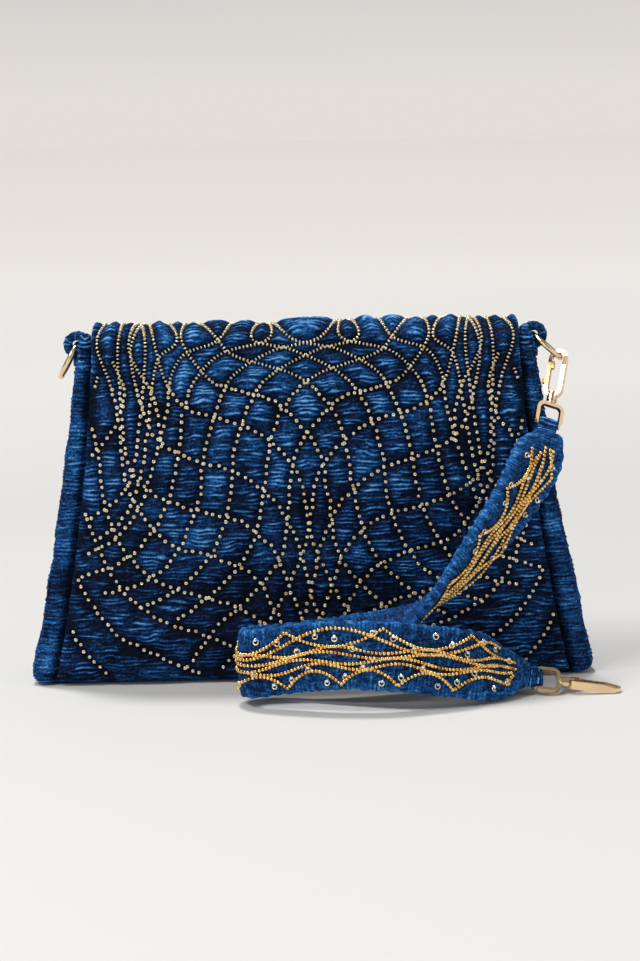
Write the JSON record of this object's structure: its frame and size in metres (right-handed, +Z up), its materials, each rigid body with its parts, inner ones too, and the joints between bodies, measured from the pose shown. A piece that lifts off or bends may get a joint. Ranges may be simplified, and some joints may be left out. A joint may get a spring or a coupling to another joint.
{
  "type": "clutch purse",
  "caption": "Flared velvet clutch with a bead-covered fold-over flap, side rings and a detachable padded wrist strap on swivel clasps.",
  "frame": {"origin": "centre of the flat base, on the surface the purse stands on", "axes": "+X to the right seen from the beaded front, +Y from front to back, +Z up"},
  "size_m": [0.3148, 0.1222, 0.1942],
  "materials": {
    "velvet": "crushed velvet, deep blue",
    "padding": "soft foam padding",
    "satin_lining": "satin weave, navy",
    "nickel_steel": "nickel-plated",
    "champagne_gold": "polished pale champagne gold plate",
    "stiffener": "matte board"
  },
  "bodies": {
    "bag": {"back_panel": "velvet", "front_panel": "velvet", "base_panel": "velvet", "gusset_left": "velvet", "gusset_right": "velvet", "foam_back": "padding", "foam_front": "padding", "base_board": "stiffener", "lining": "satin_lining", "slip_pocket": "satin_lining", "magnet_socket": "nickel_steel", "socket_washer": "nickel_steel", "tab_left": "velvet", "tab_right": "velvet"},
    "flap": {"flap_panel": "velvet", "flap_foam": "padding", "flap_lining": "satin_lining", "magnet_stud": "nickel_steel", "stud_washer": "nickel_steel"},
    "left_ring": {"ring_left": "champagne_gold"},
    "right_ring": {"ring_right": "champagne_gold"},
    "upper_hook": {"upper_hook": "champagne_gold", "upper_gate_pin": "champagne_gold", "upper_gate_spring": "nickel_steel"},
    "upper_gate": {"upper_gate": "champagne_gold"},
    "upper_bail": {"upper_swivel": "champagne_gold"},
    "strap": {"strap_end_upper": "velvet", "strap_face": "velvet", "strap_core": "padding", "strap_back": "velvet", "strap_end_lower": "velvet"},
    "lower_bail": {"lower_swivel": "champagne_gold"},
    "lower_hook": {"lower_hook": "champagne_gold", "lower_gate_pin": "champagne_gold", "lower_gate_spring": "nickel_steel"},
    "lower_gate": {"lower_gate": "champagne_gold"}
  },
  "joints": [
    {"name": "flap_hinge", "type": "hinge", "parent": "bag", "child": "flap", "pos_m": [0, 0.012, 0.181], "axis": [-1, 0, 0], "range_deg": [0, 165], "deforming": ["strap_face", "strap_core", "strap_back"]},
    {"name": "left_ring_swing", "type": "hinge", "parent": "bag", "child": "left_ring", "pos_m": [-0.124, 0, 0.184], "axis": [0, 1, 0], "range_deg": [-12, 110]},
    {"name": "right_ring_swing", "type": "hinge", "parent": "bag", "child": "right_ring", "pos_m": [0.124, 0, 0.184], "axis": [0, -1, 0], "range_deg": [0, 8]},
    {"name": "strap_swing", "type": "hinge", "parent": "right_ring", "child": "upper_hook", "pos_m": [0.13833, 0, 0.1743], "axis": [-0.9266, 0.376, 0.0023], "range_deg": [0, 20]},
    {"name": "upper_swivel_spin", "type": "hinge", "parent": "upper_hook", "child": "upper_bail", "pos_m": [0.13248, -0.01427, 0.15093], "axis": [0.2089, 0.5097, 0.8346], "range_deg": [0, 30]},
    {"name": "strap_end_pivot", "type": "hinge", "parent": "upper_bail", "child": "strap", "pos_m": [0.12914, -0.02243, 0.13758], "axis": [-0.9284, -0.1648, 0.333], "range_deg": [0, 15]},
    {"name": "lower_bail_pivot", "type": "hinge", "parent": "strap", "child": "lower_bail", "pos_m": [0.11848, -0.064, 0.00761], "axis": [-0.0859, -0.809, -0.5815], "range_deg": [0, 30]},
    {"name": "lower_swivel_spin", "type": "hinge", "parent": "lower_bail", "child": "lower_hook", "pos_m": [0.13431, -0.064, 0.00528], "axis": [0.9893, 0, -0.1461], "continuous": true},
    {"name": "upper_gate_hinge", "type": "hinge", "parent": "upper_hook", "child": "upper_gate", "pos_m": [0.1299, -0.01055, 0.15469], "axis": [0.3126, 0.7738, -0.5509], "range_deg": [0, 16], "stiffness_Nm_per_rad": 0.002, "springref_deg": -17.19},
    {"name": "lower_gate_hinge", "type": "hinge", "parent": "lower_hook", "child": "lower_gate", "pos_m": [0.13876, -0.0602, 0.00462], "axis": [-0.1461, 0, -0.9893], "range_deg": [0, 16], "stiffness_Nm_per_rad": 0.002, "springref_deg": -17.19}
  ]
}
